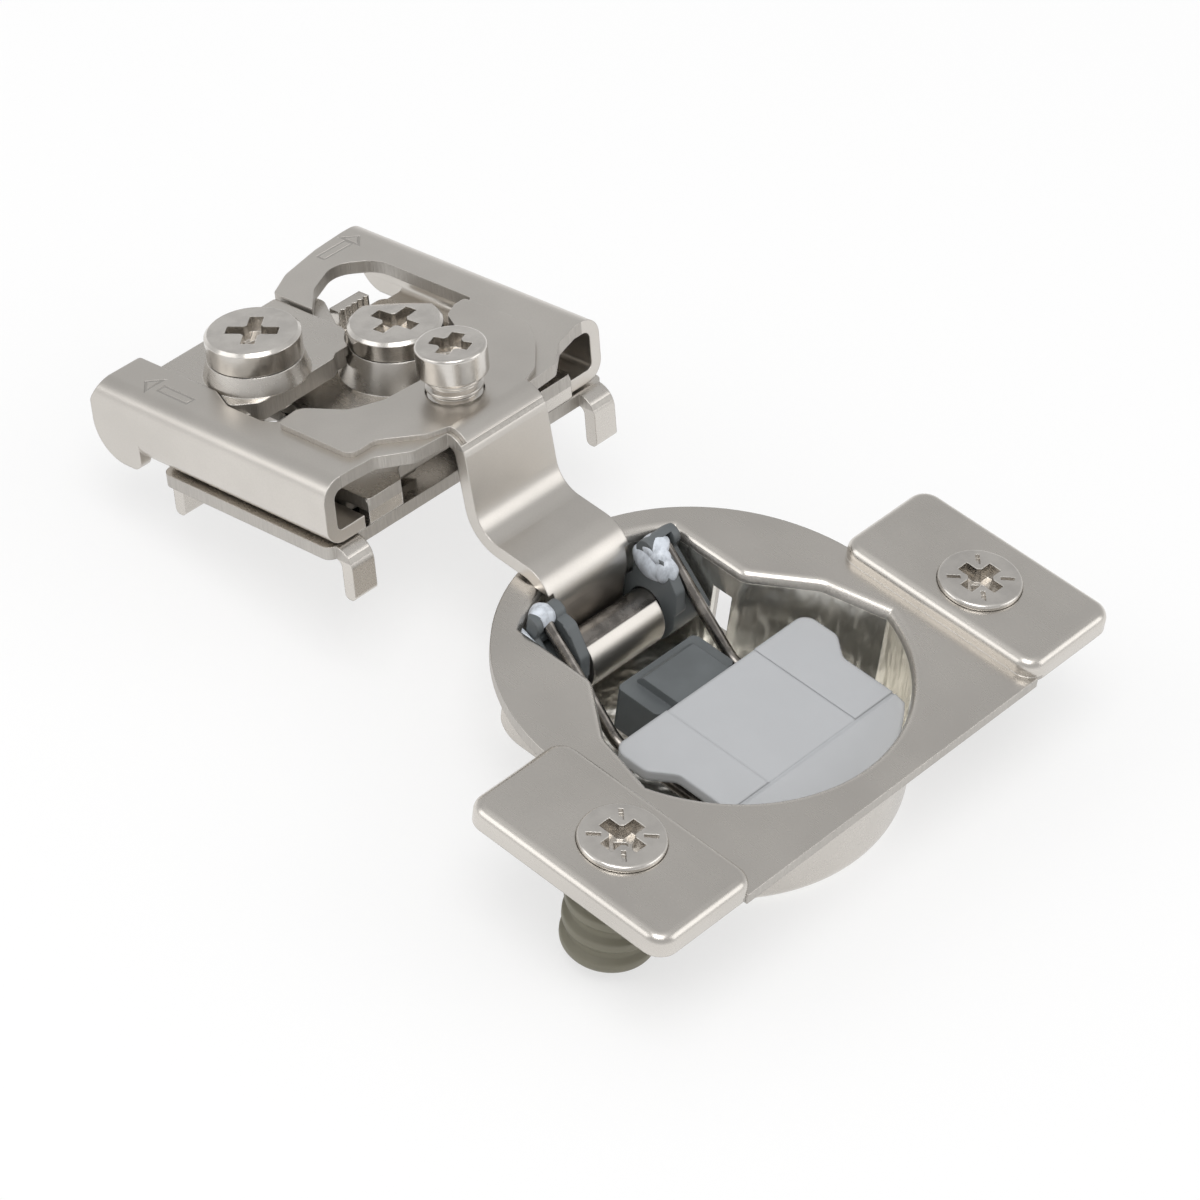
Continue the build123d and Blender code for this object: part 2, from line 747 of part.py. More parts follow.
with BuildPart() as arm:
    add(channel(-1, channel_near, channel_far_left, channel_end_lean))
    add(channel(1, channel_near_right, channel_far_right, 0))
    with BuildSketch(block_side.offset(-channel_half_width)):
        heel_far = channel_far_left + channel_end_lean
        outline([
            (heel_start, -channel_end_slope - channel_end_lean, 0),
            (heel_far, -channel_end_slope - channel_end_lean, 0),
            (heel_far, -heel_depth, heel_round - fit_gap),
            (heel_start, -heel_depth, 1.0),
        ])
    extrude(amount=arm_sheet)
    with BuildSketch(block):
        outline([
            (-channel_top_inner - fit_gap, channel_far_left, 0),
            (-11.7, channel_far_left, 0.3),
            (-11.7, 17.0, 1.0),
            (-12.8, 14.5, 1.5),
            (-12.8, 10.3, 0.8),
            *window_edge,
            *arch_edge,
            (channel_top_inner + fit_gap, channel_far_right, 0),
            (channel_top_inner + fit_gap, channel_near_right, 0),
            *shoulder_edge,
            *[(-x, y, r) for x, y, r in reversed(shoulder_edge)],
            (-channel_top_inner - fit_gap, channel_near, 0),
        ])
    extrude(amount=-arm_sheet)
    with BuildSketch(Plane.YZ):
        with BuildLine() as neck_line:
            wrap_start = degrees(
                atan2(neck_shelf_z - pin_z, neck_drop_y - pin_y)
                - acos(knuckle_radius / hypot(neck_shelf_z - pin_z, neck_drop_y - pin_y))
            )
            roll = CenterArc((pin_y, pin_z), knuckle_radius, wrap_start, -knuckle_wrap)
            FilletPolyline(
                on_block(1.0, 0),
                on_block(neck_corner_u, 0),
                (neck_foot_y, neck_shelf_z),
                (neck_drop_y, neck_shelf_z),
                roll @ 0,
                radius=[neck_top_bend, neck_foot_bend, neck_drop_bend],
            )
            offset(amount=arm_sheet, side=Side.LEFT)
        make_face()
    extrude(amount=neck_half_width, both=True)
    for side in (-1, 1):
        trim = neck_half_width - knuckle_half_width
        with Locations((side * (knuckle_half_width + trim), pin_y, knuckle_top - 2 * pin_y)):
            Box(2 * trim, 4 * pin_y, 4 * pin_y, mode=Mode.SUBTRACT)
    with BuildSketch(block):
        Circle(side_thread_radius + cam_run_gap)
    extrude(amount=-2 * arm_sheet, mode=Mode.SUBTRACT)

arm.part.label = "arm"
export_step(arm.part, "parts/arm.step")

# Inner plate: thin plate laid on the bridge round the side screw and bent over with the neck
with BuildPart() as inner_plate:
    with BuildSketch(block):
        outline([
            (-inner_half_width, 8.4, 0.6),
            *window_edge[1:],
            (11.5, 9.95, 0.4),
            (11.8, 2.6, 1.8),
            (10.0, 0.0, 1.5),
            (6.6, neck_bend_start + 0.7, 1.5),
            (inner_neck_half, neck_bend_start, 0),
            (-inner_neck_half, neck_bend_start, 0),
            (-6.6, neck_bend_start + 0.7, 1.5),
            (-9.8, -0.2, 1.2),
            (-inner_half_width, -0.2, 0.9),
        ])
    extrude(amount=inner_sheet)
    with BuildSketch(Plane.YZ):
        bend_y, bend_z = on_block(neck_bend_start, -neck_top_bend)
        with BuildLine():
            under = CenterArc((bend_y, bend_z), neck_top_bend, 90 - open_tilt, inner_wrap)
            over = CenterArc((bend_y, bend_z), neck_top_bend + inner_sheet, 90 - open_tilt, inner_wrap)
            Line(under @ 0, over @ 0)
            Line(under @ 1, over @ 1)
        make_face()
    extrude(amount=inner_neck_half, both=True)
    with BuildSketch(block):
        Circle(side_thread_radius + cam_run_gap)
    extrude(amount=2 * inner_sheet, mode=Mode.SUBTRACT)

inner_plate.part.label = "inner_plate"
export_step(inner_plate.part, "parts/inner_plate.step")

# Side screw: thick head on a short thread that sets how far the arm stands from the plates
thread_start = side_head_top - side_head_height
thread_points = []
for turn in range(thread_turns):
    crest = thread_start - turn * thread_pitch
    thread_points.append((side_thread_radius - thread_depth, crest - thread_pitch * thread_root_share, 0))
    thread_points.append((side_thread_radius, crest - thread_pitch * thread_crest_start, thread_edge))
    thread_points.append((side_thread_radius, crest - thread_pitch * thread_crest_end, thread_edge))
    thread_points.append((side_thread_radius - thread_depth, crest - thread_pitch, 0))
with BuildPart() as side_screw:
    with BuildSketch(block_end):
        outline([
            (0, side_head_top, 0),
            (side_head_radius, side_head_top, wing_head_edge),
            (side_head_radius, thread_start, 0.2),
            (side_thread_radius - thread_depth, thread_start, 0),
            *thread_points[1:-1],
            (side_thread_radius - thread_depth, side_foot, 0),
            (0, side_foot, 0),
        ])
    revolve(axis=Axis(block.origin, block.z_dir))
    cross_recess(block.offset(side_head_top), side_recess_reach, recess_width, recess_depth, turn=20)

side_screw.part.label = "side_screw"
export_step(side_screw.part, "parts/side_screw.step")

# Tongue plate: thick plate between the left strip and the arch, with a collar for the depth cam
tongue_ledge = [
    (-14.4, 24.0, 0.5),
    (-14.4, 15.5, 0.5),
    (-12.5, 13.6, 0.5),
    (1.0, 13.6, 0.5),
    (6.0, 22.0, 1.5),
    (6.0, 24.6, 0.5),
]
with BuildPart() as tongue_plate:
    with BuildSketch(block.offset(tongue_top)):
        outline([
            (-11.5, 24.3, 0.3),
            (-11.5, 16.8, 1.5),
            (-12.4, 14.8, 0.8),
            (-10.4, 12.9, 1.2),
            (-1.6, 13.1, 0.6),
            (-0.8, 13.6, 0.5),
            (1.2, 13.6, 1.0),
            (2.6, 16.2, 1.5),
            (2.6, 24.6, 0.3),
        ])
    extrude(amount=-tongue_sheet)
    with BuildSketch(block.offset(tongue_bottom)):
        outline(tongue_ledge)
    extrude(amount=ledge_sheet)
    with BuildSketch(block.offset(tongue_top)):
        with Locations((depth_cam_x, depth_cam_u)):
            Circle(cam_collar_base)
    collar_rise = depth_head_bottom - plate_gap - tongue_top
    collar_lean = degrees(atan2(cam_collar_base - cam_head_radius, collar_rise))
    extrude(amount=collar_rise, taper=collar_lean)
    with BuildSketch(block.offset(depth_head_bottom)):
        with Locations((depth_cam_x, depth_cam_u)):
            Circle(cam_bore)
    extrude(amount=tongue_bottom - depth_head_bottom, mode=Mode.SUBTRACT)
    with BuildSketch(block.offset(tongue_top)):
        with Locations((height_cam_x, height_cam_u)):
            Circle(cam_head_radius + head_room)
    extrude(amount=-tongue_sheet, mode=Mode.SUBTRACT)
    with BuildSketch(block.offset(tongue_bottom)):
        with Locations((height_cam_x, height_cam_u)):
            Circle(cam_head_radius + 2 * head_room)
    extrude(amount=tongue_sheet / 2, mode=Mode.SUBTRACT)

tongue_plate.part.label = "tongue_plate"
export_step(tongue_plate.part, "parts/tongue_plate.step")

# Depth cam: screw head on a shank, with an off-centre post below that moves the slide plate along
with BuildPart() as depth_cam:
    with BuildSketch(block.offset(depth_head_top)):
        with Locations((depth_cam_x, depth_cam_u)):
            Circle(cam_head_radius)
    extrude(amount=-depth_head_height)
    with BuildSketch(block.offset(depth_head_bottom)):
        with Locations((depth_cam_x, depth_cam_u)):
            Circle(cam_shank_radius)
    extrude(amount=tongue_bottom - plate_gap - depth_head_bottom)
    with BuildSketch(block.offset(tongue_bottom - plate_gap)):
        with Locations((depth_cam_x, depth_cam_u)):
            Circle(cam_flange_radius)
    extrude(amount=-cam_flange_sheet)
    with BuildSketch(block.offset(tongue_bottom - plate_gap - cam_flange_sheet)):
        with Locations((depth_cam_x - cam_throw, depth_cam_u)):
            Circle(cam_post_radius)
    extrude(amount=slide_bottom - (tongue_bottom - plate_gap - cam_flange_sheet))
    chamfer(depth_cam.faces().sort_by(Axis(block.origin, block.z_dir))[-1].edges(), length=cam_edge)
    recess_face = Plane(
        origin=(block * Location((depth_cam_x, depth_cam_u, depth_head_top))).position,
        x_dir=block.x_dir,
        z_dir=block.z_dir,
    )
    cross_recess(recess_face, cam_recess_reach, recess_width, recess_depth, turn=35)

depth_cam.part.label = "depth_cam"
export_step(depth_cam.part, "parts/depth_cam.step")

# Mid plate: carries the tongue on two pips and the height cam on a raised boss, with bent front tabs
with BuildPart() as mid_plate:
    with BuildSketch(block.offset(mid_top)):
        outline([
            (-mid_half_width, mid_far - 3.0, 1.0),
            (-mid_half_width, mid_near, 0.4),
            (-tab_inner, mid_near, 0.4),
            (-tab_inner + 1.2, mid_recess, 1.0),
            (tab_inner - 1.2, mid_recess, 1.0),
            (tab_inner, mid_near, 0.4),
            (mid_half_width, mid_near, 0.4),
            (mid_half_width, mid_far, 1.0),
            (-2.0, mid_far, 1.0),
            (-4.0, mid_far + 2.0, 1.0),
            (-10.0, mid_far + 2.0, 1.0),
        ])
    extrude(amount=-mid_sheet)
    for side in (-1, 1):
        with BuildSketch(block_side.offset(side * (tab_inner + mid_half_width) / 2)):
            outline([
                (mid_near + mid_sheet, mid_top, 0),
                (mid_near, mid_top, 0.8),
                (mid_near, tab_bottom, 0.2),
                (mid_near + mid_sheet, tab_bottom, 0.2),
            ])
        extrude(amount=(mid_half_width - tab_inner) / 2, both=True)
    with BuildSketch(block.offset(mid_top)):
        with Locations((height_cam_x, height_cam_u)):
            Circle(boss_base)
    boss_rise = height_head_bottom - plate_gap - mid_top
    extrude(amount=boss_rise, taper=degrees(atan2(boss_base - cam_head_radius, boss_rise)))
    with BuildSketch(block.offset(mid_top)):
        for pip_x, pip_u in ((-10.6, 21.0), (0.2, 21.0)):
            with Locations((pip_x, pip_u)):
                Circle(pip_radius)
    extrude(amount=tongue_bottom - mid_top)
    with BuildSketch(block.offset(mid_bottom)):
        with Locations(((finger_left + finger_right) / 2, finger_near + mid_sheet / 2)):
            Rectangle(finger_right - finger_left, mid_sheet)
    extrude(amount=finger_top - mid_bottom)
    with BuildSketch(block.offset(finger_top)):
        with GridLocations(finger_tooth, 1, finger_teeth, 1):
            with Locations(((finger_left + finger_right) / 2, finger_near)):
                Rectangle(finger_tooth / 2, finger_tooth / 2, rotation=45)
    extrude(amount=mid_top - finger_top, mode=Mode.SUBTRACT)
    with BuildSketch(block.offset(height_head_bottom)):
        with Locations((height_cam_x, height_cam_u)):
            Circle(cam_bore)
    extrude(amount=mid_bottom - height_head_bottom, mode=Mode.SUBTRACT)
    with BuildSketch(block.offset(mid_top)):
        with BuildLine():
            far_side = ThreePointArc(*crescent_far)
            near_side = ThreePointArc(far_side @ 0, crescent_near, far_side @ 1)
        make_face()
        outline([
            (depth_cam_x - cam_throw - cam_post_radius - cam_post_gap, depth_cam_u - post_room, 0.8),
            (depth_cam_x + cam_post_radius, depth_cam_u - post_room, 0.8),
            (depth_cam_x + cam_post_radius, depth_cam_u + post_room, 0.8),
            (depth_cam_x - cam_throw - cam_post_radius - cam_post_gap, depth_cam_u + post_room, 0.8),
        ])
    extrude(amount=-mid_sheet, mode=Mode.SUBTRACT)

mid_plate.part.label = "mid_plate"
export_step(mid_plate.part, "parts/mid_plate.step")

# Height cam: screw head on a shank, with an off-centre post below that moves the base plate across
with BuildPart() as height_cam:
    with BuildSketch(block.offset(height_head_top)):
        with Locations((height_cam_x, height_cam_u)):
            Circle(cam_head_radius)
    extrude(amount=-height_head_height)
    with BuildSketch(block.offset(height_head_bottom)):
        with Locations((height_cam_x, height_cam_u)):
            Circle(cam_shank_radius)
    extrude(amount=mid_bottom - plate_gap - height_head_bottom)
    with BuildSketch(block.offset(mid_bottom - plate_gap)):
        with Locations((height_cam_x, height_cam_u)):
            Circle(cam_flange_radius)
    extrude(amount=-cam_flange_sheet)
    with BuildSketch(block.offset(mid_bottom - plate_gap - cam_flange_sheet)):
        with Locations((height_cam_x, height_cam_u + cam_throw)):
            Circle(cam_post_radius)
    extrude(amount=base_bottom - (mid_bottom - plate_gap - cam_flange_sheet))
    chamfer(height_cam.faces().sort_by(Axis(block.origin, block.z_dir))[-1].edges(), length=cam_edge)
    recess_face = Plane(
        origin=(block * Location((height_cam_x, height_cam_u, height_head_top))).position,
        x_dir=block.x_dir,
        z_dir=block.z_dir,
    )
    cross_recess(recess_face, cam_recess_reach, recess_width, recess_depth, turn=5)
    bevel = recess_face * Location((0, 0, 0), (0, 0, cam_bevel_turn))
    bevel = bevel * Location((cam_bevel_reach, 0, 0), (0, cam_bevel_angle, 0))
    split(bisect_by=Plane(bevel), keep=Keep.BOTTOM)

height_cam.part.label = "height_cam"
export_step(height_cam.part, "parts/height_cam.step")

# Slide plate: moves along the mid plate when the depth cam turns, and guides the base plate across
slide_post_width = depth_cam_x - cam_throw
with BuildPart() as slide_plate:
    with BuildSketch(block.offset(slide_top)):
        outline(mirrored([
            (slide_half_width, slide_far, 1.0),
            (slide_half_width, slide_near, 1.0),
        ]))
    extrude(amount=-slide_sheet)
    with BuildSketch(block.offset(slide_top)):
        outline([
            (slide_post_width - cam_post_radius - cam_post_gap, depth_cam_u - post_fit, 0.6),
            (depth_cam_x + cam_post_radius, depth_cam_u - post_fit, 0.6),
            (depth_cam_x + cam_post_radius, depth_cam_u + post_fit, 0.6),
            (slide_post_width - cam_post_radius - cam_post_gap, depth_cam_u + post_fit, 0.6),
        ])
        with Locations((height_cam_x, height_cam_u)):
            SlotCenterToCenter(2 * cam_travel, 2 * (cam_flange_radius + cam_post_gap), rotation=90)
        with Locations((0, fixing_u)):
            Circle(fixing_radius + 2 * cam_travel)
    extrude(amount=-slide_sheet, mode=Mode.SUBTRACT)

slide_plate.part.label = "slide_plate"
export_step(slide_plate.part, "parts/slide_plate.step")

# Base plate: fixed to the cabinet frame, with two front and two rear hooks bent down over it
with BuildPart() as base_plate:
    with BuildSketch(block.offset(base_top)):
        outline(mirrored([
            (base_half_width, base_far, 1.0),
            (base_half_width, base_near, 1.0),
        ]))
    extrude(amount=-base_sheet)
    for side in (-1, 1):
        front = side * (hook_front_inner + hook_width / 2)
        with BuildSketch(block_side.offset(front)):
            outline([
                (base_near + 1.0, base_top, 0),
                (hook_front_far, base_top, hook_bend + base_sheet / 2),
                (hook_front_far, -hook_depth, 0.5),
                (hook_front_far + hook_sheet, -hook_depth, 0.5),
                (hook_front_far + hook_sheet, base_bottom, hook_bend / 2),
                (base_near + 1.0, base_bottom, 0),
            ])
        extrude(amount=hook_width / 2, both=True)
        rear = side * (hook_rear_inner + hook_width / 2)
        with BuildSketch(block_side.offset(rear)):
            outline([
                (base_far - 2.0, base_top, 0),
                (base_far + hook_rear_reach, base_top, hook_bend + base_sheet / 2),
                (base_far + hook_rear_reach, -hook_depth, 0.5),
                (base_far + hook_rear_reach - hook_sheet, -hook_depth, 0.5),
                (base_far + hook_rear_reach - hook_sheet, base_bottom, hook_bend / 2),
                (base_far - 2.0, base_bottom, 0),
            ])
        extrude(amount=hook_width / 2, both=True)
    with BuildSketch(block.offset(base_top)):
        with Locations((height_cam_x, height_cam_u + cam_throw - cam_swing_back / 2)):
            SlotCenterToCenter(
                2 * cam_travel + cam_swing_back,
                2 * (cam_post_radius + cam_post_gap),
                rotation=90,
            )
        with Locations((sight_x, sight_u)):
            RectangleRounded(sight_size, sight_size, 1.0)
        with Locations((0, fixing_u)):
            Circle(fixing_radius)
    extrude(amount=-base_sheet, mode=Mode.SUBTRACT)

base_plate.part.label = "base_plate"
export_step(base_plate.part, "parts/base_plate.step")
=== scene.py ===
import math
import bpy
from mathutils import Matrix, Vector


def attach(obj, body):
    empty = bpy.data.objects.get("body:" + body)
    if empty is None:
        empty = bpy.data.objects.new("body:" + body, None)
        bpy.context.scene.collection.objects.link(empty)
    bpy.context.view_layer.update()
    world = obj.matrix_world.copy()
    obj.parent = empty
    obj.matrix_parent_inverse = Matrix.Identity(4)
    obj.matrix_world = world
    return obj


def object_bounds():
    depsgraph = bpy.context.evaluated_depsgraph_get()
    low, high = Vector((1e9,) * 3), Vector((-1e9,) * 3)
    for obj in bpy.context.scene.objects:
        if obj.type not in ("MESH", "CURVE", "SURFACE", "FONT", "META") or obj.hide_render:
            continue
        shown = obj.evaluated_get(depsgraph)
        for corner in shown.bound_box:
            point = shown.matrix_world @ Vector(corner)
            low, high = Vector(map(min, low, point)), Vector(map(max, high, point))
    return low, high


bl_info = {
    "name": "Concealed cup hinge",
    "version": (1, 0, 0),
    "blender": (4, 5, 0),
    "location": "3D View > Sidebar > Hinge",
    "description": "Finishes a concealed cup hinge in steel, plastic, wire and grease, and adds a stage",
    "category": "Object",
}

import bmesh
import bpy
import numpy as np
from bpy.props import FloatProperty, FloatVectorProperty, PointerProperty
from mathutils import Matrix, Vector

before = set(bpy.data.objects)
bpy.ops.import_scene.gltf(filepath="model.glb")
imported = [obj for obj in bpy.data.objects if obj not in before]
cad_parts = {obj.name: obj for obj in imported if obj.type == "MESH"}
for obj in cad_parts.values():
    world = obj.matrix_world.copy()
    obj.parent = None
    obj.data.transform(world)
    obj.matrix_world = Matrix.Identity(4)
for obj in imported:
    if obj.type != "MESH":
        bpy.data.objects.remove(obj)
cad_box = [list(corner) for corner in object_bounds()]

MM = 0.001

# The block's own frame: its tilt about X, and its origin in millimetres
BLOCK_TILT = math.radians(13.0)
BLOCK_ORIGIN = (0.0, 31.0, 9.7)

# The bowl's outline inside the cup, in millimetres. Half its width is SHOULDER_X at SHOULDER_Y. From
# there it shrinks by SLOT_LEAN per millimetre towards the slot, down to SLOT_X, and grows by FLARE_LEAN
# per millimetre the other way. Below ROUND_Y it is given ROUND_ROOM more, so that only the bowl's radius
# counts there. The bowl's painted highlight, a painted reflection, and its rumpling end at the height
# BOWL_TOP.
SLOT_X = 9.9
SHOULDER_X = 14.1
SHOULDER_Y = 0.2
SLOT_LEAN = 0.81
FLARE_LEAN = 0.27
ROUND_Y = -5.3
ROUND_ROOM = 5
BOWL_TOP = 0.1

# A face whose normal rises less than this, in the sheet's own frame, is a cut edge
EDGE_RISE = 0.6

# An arrow's parts as shares of half its width, the sine of its head's slope and the height in millimetres
# above which the block has arrows
SHAFT_SHARE = 0.45
HEAD_SHARE = 1.1
DIAGONAL = 0.71
ARROW_FLOOR = -0.5

# Scales of the noise patterns, in repeats per metre
CLOUD_SCALE = 90
BLOTCH_SCALE = 420
STEEL_GRAIN_SCALE = 7000
DRAWN_SCALE = 2900
STRIATION_SCALE = 5200
RAGGED_SCALE = 2300
RUMPLE_SCALE = 420
SCREW_GRAIN_SCALE = 3800
DENT_SCALE = 1300
OIL_SCALE = 600
DIE_MARK_SCALE = 7000
MOULD_CLOUD_SCALE = 260
MOULD_GRAIN_SCALE = 6500
GREASE_SCALE = 900
PAPER_SCALE = 30

# Depths that the bumps stand for, in millimetres
STEEL_GRAIN_DEPTH = 0.0018
CUT_EDGE_DEPTH = 0.09
RUMPLE_DEPTH = 0.7
ARROW_DEPTH = 0.12
DENT_DEPTH = 0.008
DIE_MARK_DEPTH = 0.008
MOULD_GRAIN_DEPTH = 0.006
GREASE_DEPTH = 0.06

# Rounding of the edges that have no setting, in millimetres, and the samples that every rounding takes
SCREW_ROUNDING = 0.12
WIRE_ROUNDING = 0.1
GREASE_ROUNDING = 0.05
BEVEL_SAMPLES = 6

# The grease lumps' grid, the angle it keeps off each pole, and the distance in millimetres within which
# points are merged
LUMP_ROWS = 28
LUMP_COLUMNS = 40
POLE_GAP = 0.001
MERGE_DISTANCE = 0.001


# Meshes

def ring_sheet(points):
    """Vertices and quads of a grid of points, rows by columns by 3, in which each row is a closed ring.

    A quad joins a point, the one below it, that one's neighbour and the point's own neighbour. The last
    column's neighbour is the first.
    """
    rows, columns = points.shape[:2]
    index = np.arange(rows * columns).reshape(rows, columns)
    index = np.concatenate([index, index[:, :1]], 1)
    quads = np.stack([index[:-1, :-1], index[1:, :-1], index[1:, 1:], index[:-1, 1:]], -1)
    return points.reshape(-1, 3), quads.reshape(-1, 4).tolist()


def new_piece(name, vertices, faces, body, slot, material):
    """A smooth mesh at the origin that rides on a body. Its slot is not used."""
    mesh = bpy.data.meshes.new(name)
    mesh.from_pydata([tuple(v) for v in vertices], [], faces)
    work = bmesh.new()
    work.from_mesh(mesh)
    bmesh.ops.remove_doubles(work, verts=work.verts, dist=MERGE_DISTANCE * MM)
    bmesh.ops.recalc_face_normals(work, faces=work.faces)
    work.to_mesh(mesh)
    work.free()
    mesh.shade_smooth()
    piece = bpy.data.objects.new(name, mesh)
    bpy.context.scene.collection.objects.link(piece)
    mesh.materials.append(material)
    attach(piece, body)


def lump(centre, size, turn, seed, roughness):
    """Uneven ellipsoid, turned about X: theta is the angle from its pole and phi the angle round it.

    Each direction is multiplied by the three half sizes and by a swell. The swell is 1 plus roughness times
    the sum of three waves: the sine of 3 phi + seed times the square of the sine of theta, 0.6 times the sine
    of 5 phi - 2 theta + 2 seed times the sine of theta, and 0.5 times the cosine of 4 theta + seed.
    """
    theta = np.linspace(POLE_GAP, np.pi - POLE_GAP, LUMP_ROWS)[:, None]
    phi = np.linspace(0, 2 * np.pi, LUMP_COLUMNS, endpoint=False)[None, :]
    swell = 1 + roughness * (
        np.sin(3 * phi + seed) * np.sin(theta) ** 2
        + 0.6 * np.sin(5 * phi - 2 * theta + 2 * seed) * np.sin(theta)
        + 0.5 * np.cos(4 * theta + seed)
    )
    unit = np.stack([
        np.sin(theta) * np.cos(phi),
        np.sin(theta) * np.sin(phi),
        np.cos(theta) * np.ones_like(phi),
    ], -1)
    points = unit * swell[..., None] * np.asarray(size, float) * MM
    points = points @ np.array(Matrix.Rotation(turn, 3, "X")).T
    return ring_sheet(points + np.asarray(centre, float) * MM)


def joined(*shapes):
    """Several pairs of vertices and faces as one: each pair's faces count on from the points before."""
    vertices, faces, start = [], [], 0
    for points, quads in shapes:
        vertices.append(points)
        faces += [[start + corner for corner in face] for face in quads]
        start += len(points)
    return np.concatenate(vertices), faces


def finished(nodes, material):
    """Gives CAD nodes their finish."""
    for node in nodes:
        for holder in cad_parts[node].material_slots:
            holder.material = material


# Materials

class Value:
    """A socket that holds a number: the usual operators on it add Math nodes to its material."""

    def __init__(self, finish, socket):
        self.finish = finish
        self.socket = socket

    def maths(self, operation, first, second=0.0):
        """The output of a new Math node as a value."""
        node = self.finish.node("ShaderNodeMath", {"operation": operation}, {0: first, 1: second})
        return Value(self.finish, node.outputs[0])

    def __add__(self, other):
        return self.maths("ADD", self, other)

    def __radd__(self, other):
        return self.maths("ADD", other, self)

    def __sub__(self, other):
        return self.maths("SUBTRACT", self, other)

    def __rsub__(self, other):
        return self.maths("SUBTRACT", other, self)

    def __mul__(self, other):
        return self.maths("MULTIPLY", self, other)

    def __rmul__(self, other):
        return self.maths("MULTIPLY", other, self)

    def largest(self, other):
        """The larger of two values."""
        return self.maths("MAXIMUM", self, other)

    def smallest(self, other):
        """The smaller of two values."""
        return self.maths("MINIMUM", self, other)

    def __abs__(self):
        return self.maths("ABSOLUTE", self)

    def below(self, limit):
        """1 where the value is under the limit, else 0."""
        return self.maths("LESS_THAN", self, limit)

    def above(self, limit):
        """1 where the value is over the limit, else 0."""
        return self.maths("GREATER_THAN", self, limit)

    def ramp(self, low, high):
        """0 at low, 1 at high, smooth in between and level outside."""
        node = self.finish.node(
            "ShaderNodeMapRange",
            {"interpolation_type": "SMOOTHSTEP"},
            {"Value": self, "From Min": low, "From Max": high},
        )
        return Value(self.finish, node.outputs[0])


class Finish:
    """A material while it is built. Constants are set on the shader's own sockets."""

    def __init__(self, name, constants):
        self.material = bpy.data.materials.new(name)
        self.material.use_nodes = True
        self.nodes = self.material.node_tree.nodes
        self.links = self.material.node_tree.links
        self.shader = self.nodes["Principled BSDF"]
        for socket, value in constants.items():
            self.shader.inputs[socket].default_value = value
        coordinates = self.node("ShaderNodeTexCoord", {}, {})
        self.place = coordinates.outputs["Object"]
        self.facing = coordinates.outputs["Normal"]

    def node(self, kind, settings, inputs):
        """Adds a node: its settings first, then the values or links of its sockets."""
        node = self.nodes.new(kind)
        for key, value in settings.items():
            setattr(node, key, value)
        for key, value in inputs.items():
            self.feed(node.inputs[key], value)
        return node

    def feed(self, socket, value):
        """Links a socket to a value or another socket, or sets it to a number or colour."""
        if isinstance(value, Value):
            value = value.socket
        if isinstance(value, bpy.types.NodeSocket):
            self.links.new(value, socket)
        else:
            socket.default_value = value

    def noise(self, vector, scale, detail, rough=0.5):
        """Noise between 0 and 1 with features about 1/scale metres across."""
        node = self.node("ShaderNodeTexNoise", {}, {
            "Vector": vector, "Scale": scale, "Detail": detail, "Roughness": rough,
        })
        return Value(self, node.outputs["Fac"])

    def turned(self, vector, about, location):
        """Coordinates turned about X, then moved."""
        inputs = {"Vector": vector, "Rotation": (about, 0, 0), "Location": location}
        return self.node("ShaderNodeMapping", {}, inputs).outputs[0]

    def stretched(self, vector, scale):
        """Coordinates multiplied by three factors."""
        node = self.node("ShaderNodeVectorMath", {"operation": "MULTIPLY"}, {0: vector, 1: scale})
        return node.outputs[0]

    def split(self, vector):
        """The three parts of a vector as values."""
        node = self.node("ShaderNodeSeparateXYZ", {}, {0: vector})
        return [Value(self, output) for output in node.outputs]

    def mixed(self, share, first, second):
        """Colour between two, by a share from 0 to 1.

        The Mix node's colours are its inputs 6 and 7 and its output 2.
        """
        node = self.node("ShaderNodeMix", {"data_type": "RGBA"}, {0: share, 6: first, 7: second})
        return node.outputs[2]

    def rounded(self, radius):
        """Normals that turn over each edge as if it had this radius in millimetres."""
        node = self.node("ShaderNodeBevel", {"samples": BEVEL_SAMPLES}, {"Radius": radius * MM})
        return node.outputs[0]

    def bump(self, height, depth, normal):
        """Bump on a normal, from a height between 0 and 1 that stands for a depth in millimetres."""
        inputs = {"Height": height, "Strength": 1.0, "Distance": depth * MM, "Normal": normal}
        return self.node("ShaderNodeBump", {}, inputs).outputs[0]

    def done(self, colour=None, roughness=None, normal=None):
        """Feeds the shader and returns the material."""
        for name, value in (("Base Color", colour), ("Roughness", roughness), ("Normal", normal)):
            if value is not None:
                self.feed(self.shader.inputs[name], value)
        return self.material


def shade(colour, factor):
    """A colour made lighter or darker by a factor."""
    return (*[channel * factor for channel in colour[:3]], 1.0)


def arrow_line(ahead, aside, middle, tip, length, half_width, line):
    """1 on the outline of an arrow that points along the coordinate ahead, else 0. Sizes in millimetres.

    The arrow's distance is the smaller of two: to a box, its shaft, and to a wedge, its head, whose sides
    lean back at 45 degrees. The outline is where that distance is nought. It is full within half of line and
    faded out at line.
    """
    centre_ahead, centre_aside = middle
    side = abs(aside - centre_aside * MM)
    shaft_half = SHAFT_SHARE * half_width
    head_back = tip - HEAD_SHARE * half_width
    shaft = (side - shaft_half * MM).largest(abs(ahead - centre_ahead * MM) - 0.5 * length * MM)
    head = ((ahead - tip * MM) * DIAGONAL + side * DIAGONAL).largest(head_back * MM - ahead)
    return abs(shaft.smallest(head)).ramp(line * MM, 0.5 * line * MM)


